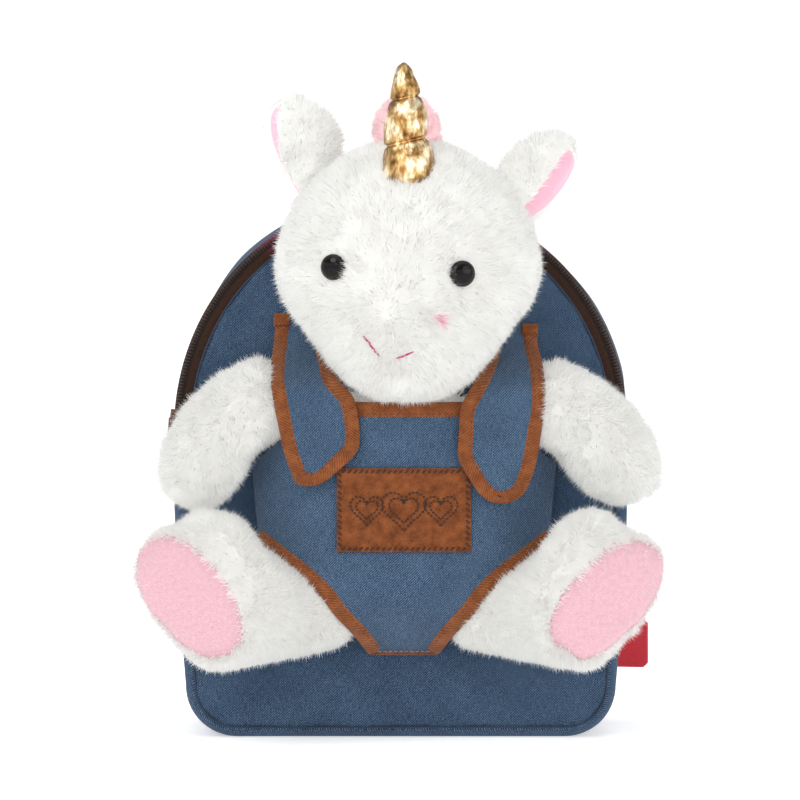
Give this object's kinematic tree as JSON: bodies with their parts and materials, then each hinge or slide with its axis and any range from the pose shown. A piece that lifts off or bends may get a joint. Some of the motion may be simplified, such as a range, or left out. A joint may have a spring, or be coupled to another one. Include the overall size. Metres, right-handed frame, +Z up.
{
  "type": "plush-toy backpack",
  "caption": "Small child's denim backpack with an arched zip, and a white furry horned plush toy held on its front by a bib with suede bindings.",
  "frame": {"origin": "centre of the bag's flat underside, where it stands on the floor", "axes": "+Z up to the horn's tip, -Y out of the front where the toy sits, +X to the right of a viewer facing the front"},
  "size_m": [0.27, 0.2751, 0.354],
  "materials": {
    "denim": "blue cotton twill with a brushed face and pale flecks",
    "padding": "plain dark blue padded cloth",
    "zip_tape": "woven dark brown tape turning berry near the top of the arch",
    "zip_coil": "satin nylon coil",
    "suede": "tan imitation suede with fine slanting ribs",
    "patch_suede": "tan imitation suede with dark brown stitching",
    "fur": "white long pile",
    "eye": "glossy black dome",
    "gold_fabric": "crinkled metallic gold cloth",
    "mane_fleece": "soft pale pink pile",
    "satin": "shiny pink satin",
    "sole_fleece": "short pink fleece",
    "webbing": "ribbed woven tape",
    "buckle_plastic": "moulded black plastic",
    "label_cloth": "woven red ribbon, left plain",
    "bronze": "dark bronze plating, glossy"
  },
  "bodies": {
    "backpack": {"arm_left": "fur", "arm_right": "fur", "back_panel": "padding", "bib": "denim", "bib_top_trim": "suede", "carry_handle": "webbing", "ear_left": "fur", "ear_lining_left": "satin", "ear_lining_right": "satin", "ear_right": "fur", "eye_left": "eye", "eye_right": "eye", "flap_left": "denim", "flap_right": "denim", "flap_trim_left": "suede", "flap_trim_right": "suede", "front_panel": "denim", "gusset_lower": "denim", "gusset_top": "denim", "head": "fur", "horn": "gold_fabric", "label_tab": "label_cloth", "leg_left": "fur", "leg_right": "fur", "leg_trim_left": "suede", "leg_trim_right": "suede", "mane": "mane_fleece", "patch": "patch_suede", "shoulder_strap_left": "padding", "shoulder_strap_right": "padding", "sole_left": "sole_fleece", "sole_right": "sole_fleece", "strap_buckle_left": "buckle_plastic", "strap_buckle_right": "buckle_plastic", "strap_webbing_left": "webbing", "strap_webbing_right": "webbing", "torso": "fur", "zip_coil": "zip_coil", "zip_slider": "bronze", "zip_tape_back": "zip_tape", "zip_tape_front": "zip_tape"},
    "zip_pull": {"zip_pull": "bronze"}
  },
  "joints": [
    {"name": "zip_pull_swing", "type": "hinge", "parent": "backpack", "child": "zip_pull", "pos_m": [-0.11949, -0.0649, 0.16824], "axis": [-0.7605, 0.6476, 0.0475], "range_deg": [0, 150]}
  ]
}
